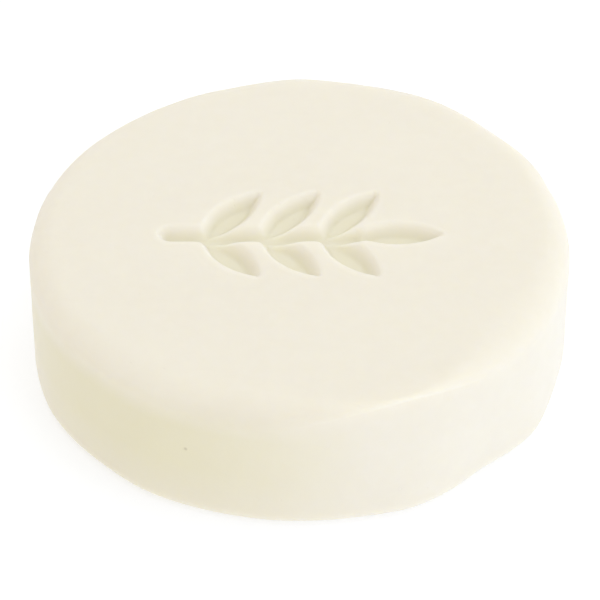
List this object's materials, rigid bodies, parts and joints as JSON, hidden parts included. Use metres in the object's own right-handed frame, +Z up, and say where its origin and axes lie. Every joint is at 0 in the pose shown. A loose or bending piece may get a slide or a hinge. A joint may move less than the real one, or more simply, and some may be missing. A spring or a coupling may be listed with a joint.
{
  "type": "shaving soap puck",
  "caption": "Round puck of hard shaving soap with rounded edges, a slightly worn outline and a leaf sprig stamped into its top.",
  "frame": {"origin": "centre of the flat bottom face, on the cake's upright axis", "axes": "+Z up along the cake's axis, +X along the stamped sprig towards its tip, +Y across the sprig"},
  "size_m": [0.0732, 0.0736, 0.02],
  "materials": {
    "soap": "satin"
  },
  "bodies": {
    "root": {"soap_puck": "soap"}
  },
  "joints": []
}
